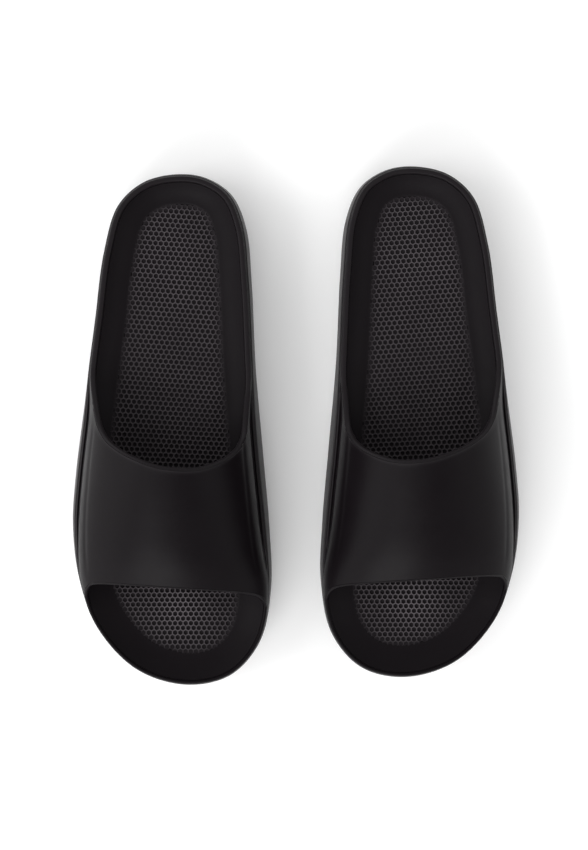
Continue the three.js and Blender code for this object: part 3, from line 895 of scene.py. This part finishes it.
def footbed_rings():
    """The insert's section carried round the outline, from the middle of its flat underside out to
    its rim, up the rim, and over the dished border down to the middle under the honeycomb."""
    rings = []
    for part in (0.04, 0.5, 0.9, 1):
        line = drawn_line(around, FLOOR_INSET, part)
        rings.append(raised(line, foot_height(station(line[:, 1])) - FLOOR_DEPTH))
    start = bed_inset(inset_line(around, 0))
    rim = inset_line(around, start)
    rim_height = bed_surface(rim, start)
    under_rim = np.maximum(np.minimum(start + 1.4, FLOOR_INSET), start + 0.2)
    rings.append(raised(inset_line(around, under_rim), rim_height - 2.0))
    rings.append(raised(inset_line(around, start + 0.12), rim_height - 0.9))
    border = [inset_line(around, start + (BORDER_INSET - start) * part)
              for part in np.concatenate([np.linspace(0, 1, 30), np.linspace(1.1, 1.5, 5)])]
    middle = [drawn_line(around, MIDDLE_INSET, part) for part in (0.8, 0.55, 0.3, 0.05)]
    for line in border + middle:
        distance = edge_distance(line)
        rings.append(raised(line, bed_surface(line, distance) - patch_hollow(distance)))
    return rings


def along_foot(flat):
    """Lays a flat pattern along the foot: its rows turn with the heel's slant, which holds behind
    the strap and fades to nothing at the toe. The middle line goes forward a millimetre at a time
    in the slant's direction, and a point stands beside it by its own place across."""
    way = np.arange(0, LENGTH + 11)
    slant = np.radians(HEEL_SLANT) * ease(0.75, 0.4, way / LENGTH)
    spine_x = HEEL_SPINE_X - np.cumsum(np.sin(slant))
    spine_y = HEEL_Y - np.cumsum(np.cos(slant))
    turn = np.interp(flat[..., 1], way, slant)
    x = np.interp(flat[..., 1], way, spine_x) + flat[..., 0] * np.cos(turn)
    y = np.interp(flat[..., 1], way, spine_y) - flat[..., 0] * np.sin(turn)
    return np.stack([x, y], axis=-1)


def honeycomb():
    """Six-sided cells in staggered rows across the foot. Each has a thin rounded rib round it,
    steep walls and a small dished floor; at the edge of the patch the ribs sink into the border.

    Each cell is a stack of six-sided rings, every one the cell's outline by a size of its own and
    at a height of its own above the dished surface, with a ring below that closes the patch
    underneath. It gives the points, the faces, and 1 at the points on top of the ribs, which mark
    where a highlight is painted."""
    row_pitch = CELL_PITCH * ROW_SHARE
    x, y = np.meshgrid(CELL_PITCH * np.arange(-20, 21), row_pitch * np.arange(LENGTH // row_pitch))
    x = x + CELL_PITCH / 2 * (np.arange(len(x)) % 2)[:, None]
    centres = np.stack([x.ravel(), y.ravel()], axis=-1)
    centres = centres[edge_distance(along_foot(centres)) > PATCH_INSET + 0.2]
    turn = np.radians(30 + 60 * np.arange(6))
    corner = np.stack([np.cos(turn) * CELL_PITCH / np.sqrt(3), np.sin(turn) * row_pitch / 1.5], -1)
    sizes = (1.0, 0.85, 0.77, 0.67, 0.42)
    drops = (RIB_RISE, RIB_RISE - 0.03, RIB_RISE - 0.25, -CELL_DEPTH + 0.15, -CELL_DEPTH)
    flats, points, marks = [], [], []
    for size, drop in zip(sizes, drops):
        flat = centres[:, None] + corner * size
        ring = along_foot(flat)
        distance = edge_distance(ring)
        full = ease(PATCH_INSET - 0.6, PATCH_INSET + 5.5, distance)
        z = bed_surface(ring, distance) + drop * full - 0.06 * (1 - full)
        flats.append(flat)
        points.append(np.dstack([ring, z]))
        # Rib tops are marked for a painted highlight.
        marks.append(np.full(ring.shape[:2], float(drop > RIB_RISE - 0.1)) * full)
    levels = len(sizes)
    flats.append(flats[0])
    points.append(points[0] - [0, 0, PATCH_THICKNESS])
    marks.append(np.zeros(marks[0].shape))
    stack = np.stack(points)
    index = np.arange(stack[..., 0].size).reshape(stack.shape[:3])
    beside = np.roll(index, -1, axis=2)
    walls = np.stack([index[:-2], beside[:-2], beside[1:-1], index[1:-1]], axis=-1).reshape(-1, 4)
    floor = index[levels - 1]
    floors = np.vstack([floor[:, [0, 1, 2, 3]], floor[:, [0, 3, 4, 5]]])
    under = index[levels]
    bottoms = np.vstack([under[:, [3, 2, 1, 0]], under[:, [5, 4, 3, 0]]])
    skirts = np.stack([under, beside[levels], beside[0], index[0]], axis=-1).reshape(-1, 4)
    # Neighbouring cells share the corners of their outer rings, above and below: points are one
    # where their places in the flat pattern agree to a twentieth of a millimetre.
    places = np.round(np.stack(flats).reshape(-1, 2) * 20)
    keys = np.column_stack([places, np.zeros(len(places))])
    keys[under.ravel(), 2] = 1
    inner = index[1:levels].ravel()
    keys[inner, 2] = 2 + inner
    _, first, same = np.unique(keys, axis=0, return_index=True, return_inverse=True)
    same = same.ravel()
    # A wall round a cell's outside is kept only where no neighbour has the same one.
    skirts = same[skirts]
    ends = np.sort(skirts[:, 2:], axis=1)
    _, place, count = np.unique(ends, axis=0, return_inverse=True, return_counts=True)
    skirts = skirts[count[place.ravel()] == 1]
    faces = np.vstack([same[walls], same[floors], same[bottoms], skirts])
    return stack.reshape(-1, 3)[first], faces, np.concatenate([m.ravel() for m in marks])[first]


def tread_wear(points):
    """How much the foot has polished the ribs: a tall bell-shaped spot under the toes and a low
    one under the heel."""
    x, where = points[:, 0], station(points[:, 1])
    toes = np.exp(-(((x + 66) / 15) ** 2) - ((where - 0.85) / 0.055) ** 2)
    heel = np.exp(-(((x + 67) / 22) ** 2) - ((where - 0.16) / 0.1) ** 2)
    return 0.75 * toes + 0.2 * heel


def ribbed_foam():
    """The patch's foam: dark and matt in the cells, and paler and glossier along the tops of the ribs,
    the more so where the foot treads; the paleness of the rib tops is a painted highlight, with wear
    added where the foot treads."""
    finish = Finish("honeycomb foam")
    cloud = finish.noise(40, 4, 0.6)
    grain = finish.noise(1400, 3, 0.6)
    # The pale rib tops are a painted highlight, paler still where the foot has worn them.
    top = finish.node("Attribute", output="Fac", attribute_name="rib_top_highlight")
    tread = finish.node("Attribute", output="Fac", attribute_name="tread_wear")
    pale = finish.shades(cloud * 0.5 + tread, (0.034, 0.030, 0.0328), (0.115, 0.103, 0.111))
    colour = finish.shades(top, (0.0115, 0.0095, 0.011), pale)
    skin = finish.bumps(grain, 0.4, 0.00006)
    gloss = 0.62 - top * 0.14 + (cloud - 0.5) * 0.12
    return finish.surface({"Base Color": colour, "Roughness": gloss, "Normal": skin,
                           "Specular IOR Level": 0.07})


bed_points, bed_faces = rings_solid(footbed_rings())
cell_points, cell_faces, rib_top_highlights = honeycomb()
bed_foam = moulded_foam("footbed foam", (0.0043, 0.0031, 0.0040), (0.0075, 0.0058, 0.0071),
                        roughness=0.52, pit_depth=0.00006, sheen=0.07)
rib_foam = ribbed_foam()
# A paler ring through the border round the honeycomb's edge: partly wear where the foot rubs, partly
# painted light near the honeycomb.
wear_and_highlight = 0.4 * ease(6, 0, np.abs(edge_distance(bed_points[:, :2]) - RUBBED_INSET))
for side in SIDES:
    bed = add_piece("dished_footbed", bed_points, bed_faces, side, {"wear_and_highlight": wear_and_highlight})
    bed.data.materials.append(bed_foam)
    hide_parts(f"{side}_footbed")
    bend_with_forefoot(bed)
    ribs = add_piece("honeycomb_patch", cell_points, cell_faces, side,
                     {"rib_top_highlight": rib_top_highlights, "tread_wear": tread_wear(cell_points)})
    ribs.data.materials.append(rib_foam)
    ribs.data.polygons.foreach_set("use_smooth", np.zeros(len(ribs.data.polygons), bool))
    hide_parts(f"{side}_footbed")
    bend_with_forefoot(ribs)

# ======== Floor, light and camera ========
# A white table that glows faintly, as a light table does, in a room with bright walls and a darker
# ceiling. A large softbox stands beyond the toes and a weaker one on each side, and the camera
# looks straight down.

TABLE_REACH = 6.0
corners = TABLE_REACH * np.array([[-1, -1, 0], [1, -1, 0], [1, 1, 0], [-1, 1, 0]])
floor_mesh = bpy.data.meshes.new("table")
floor_mesh.from_pydata(corners.tolist(), [], [(0, 1, 2, 3)])
table = bpy.data.objects.new("table", floor_mesh)
bpy.context.scene.collection.objects.link(table)
paper = Finish("white paper")
fibre = paper.noise(60, 3, 0.5)
table.data.materials.append(paper.surface({
    "Base Color": paper.shades(fibre, (0.94, 0.94, 0.94), (0.96, 0.96, 0.96)), "Roughness": 0.9,
    "Specular IOR Level": 0.1, "Emission Color": (1, 1, 1, 1), "Emission Strength": 0.1}))


def softbox(name, place, size, power):
    """A rectangular area light turned to face the middle of the pair's footprint."""
    light = bpy.data.lights.new(name, "AREA")
    light.shape = "RECTANGLE"
    light.size, light.size_y = size
    light.energy = power
    lamp = bpy.data.objects.new(name, light)
    lamp.location = place
    lamp.rotation_euler = (-Vector(place)).to_track_quat("-Z", "Y").to_euler()
    bpy.context.scene.collection.objects.link(lamp)


softbox("toe side softbox", (-0.55, -1.4, 1.15), size=(1.3, 0.8), power=17)
softbox("left softbox", (-1.4, 0.0, 1.2), size=(1.0, 0.8), power=8)
softbox("right softbox", (1.4, 0.1, 1.1), size=(1.0, 0.8), power=4)

# The room's light falls smoothly from the walls at eye level to the ceiling, and is weaker towards
# the right.
world = bpy.data.worlds.new("studio")
world.use_nodes = True
world.node_tree.nodes.clear()
room = NodeMaker(world.node_tree)
way = room.node("TexCoord", output="Generated")
rightwards = room.node("SeparateXYZ", {0: way}, output=0)
upwards = room.node("SeparateXYZ", {0: way}, output=2)
fall = room.node("MapRange", {"Value": upwards, "From Min": 0.0, "From Max": 0.9, "To Min": 1.8,
                              "To Max": 0.56}, interpolation_type="SMOOTHSTEP")
glow = room.node("Background", {"Color": (1, 1, 1, 1), "Strength": fall * (1 - rightwards * 0.4)})
room.node("OutputWorld", {"Surface": glow})
bpy.context.scene.world = world
bpy.context.scene.view_settings.view_transform = "Standard"

CAMERA_HEIGHT = 1.3
VIEW_HEIGHT = 0.487  # what the view takes in, top to bottom, at the level of the soles' widest line
WIDEST_LEVEL = 0.013
SENSOR_HEIGHT = 36
camera = bpy.data.cameras.new("camera")
camera.sensor_fit = "VERTICAL"
camera.sensor_height = SENSOR_HEIGHT
camera.lens = SENSOR_HEIGHT * (CAMERA_HEIGHT - WIDEST_LEVEL) / VIEW_HEIGHT
camera_object = bpy.data.objects.new("camera", camera)
camera_object.location = (-0.0011, 0, CAMERA_HEIGHT)
bpy.context.scene.collection.objects.link(camera_object)
bpy.context.scene.camera = camera_object
